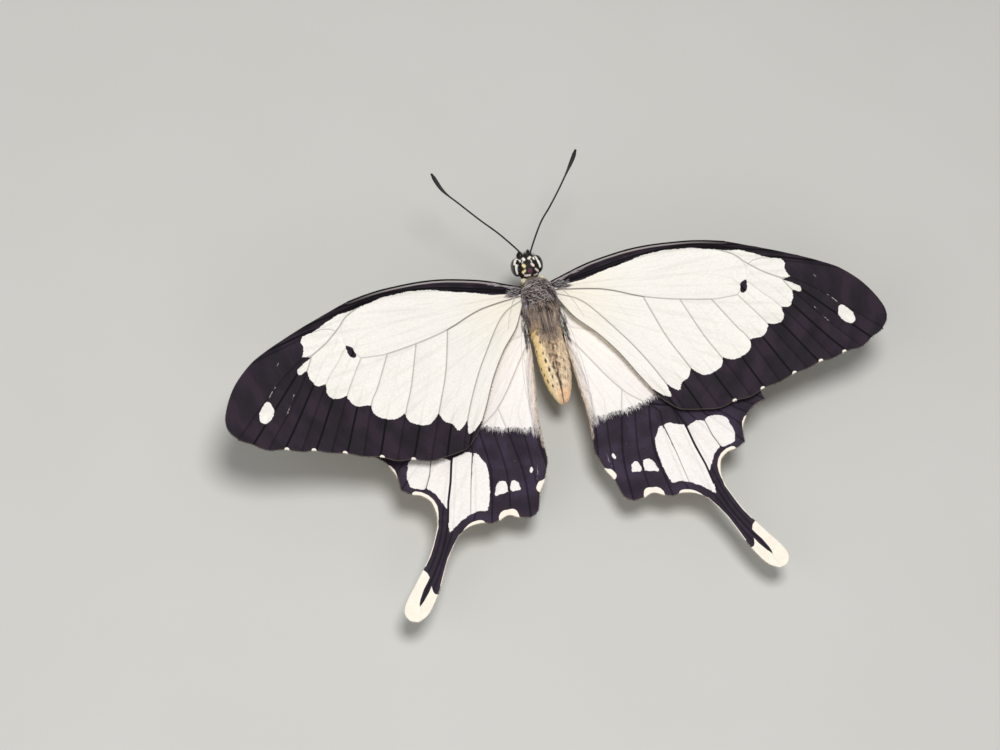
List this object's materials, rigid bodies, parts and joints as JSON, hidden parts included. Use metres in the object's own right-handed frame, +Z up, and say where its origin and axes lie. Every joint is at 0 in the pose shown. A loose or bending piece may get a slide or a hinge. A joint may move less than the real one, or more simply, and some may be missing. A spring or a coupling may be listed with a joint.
{
  "type": "swallowtail butterfly",
  "caption": "Life-size male mocker swallowtail standing with cream and black wings spread flat, tails trailing and antennae raised.",
  "frame": {"origin": "middle of the outer box in plan, on the floor that the six feet stand on", "axes": "+X towards the insect's left wing tip, +Y from head to tail, +Z up"},
  "size_m": [0.0946, 0.0644, 0.0176],
  "materials": {
    "wing_scales": "matte wing scales, cream with dark purple-brown borders",
    "thorax_fur": "short grey-brown fur over dark cuticle",
    "abdomen_scales": "cream-ochre scales with dark dots and a dark line along the back",
    "head_scales": "black scales with cream spots",
    "eye": "glossy dark brown facets",
    "antenna_cuticle": "satin black cuticle",
    "leg_cuticle": "satin dark brown cuticle with fine scales"
  },
  "bodies": {
    "root": {"thorax": "thorax_fur", "abdomen": "abdomen_scales", "head": "head_scales", "proboscis": "leg_cuticle", "eye_left": "eye", "antenna_left": "antenna_cuticle", "palp_left": "head_scales", "forewing_left": "wing_scales", "hindwing_left": "wing_scales", "leg_front_left": "leg_cuticle", "leg_middle_left": "leg_cuticle", "leg_hind_left": "leg_cuticle", "eye_right": "eye", "antenna_right": "antenna_cuticle", "palp_right": "head_scales", "forewing_right": "wing_scales", "hindwing_right": "wing_scales", "leg_front_right": "leg_cuticle", "leg_middle_right": "leg_cuticle", "leg_hind_right": "leg_cuticle"}
  },
  "joints": []
}
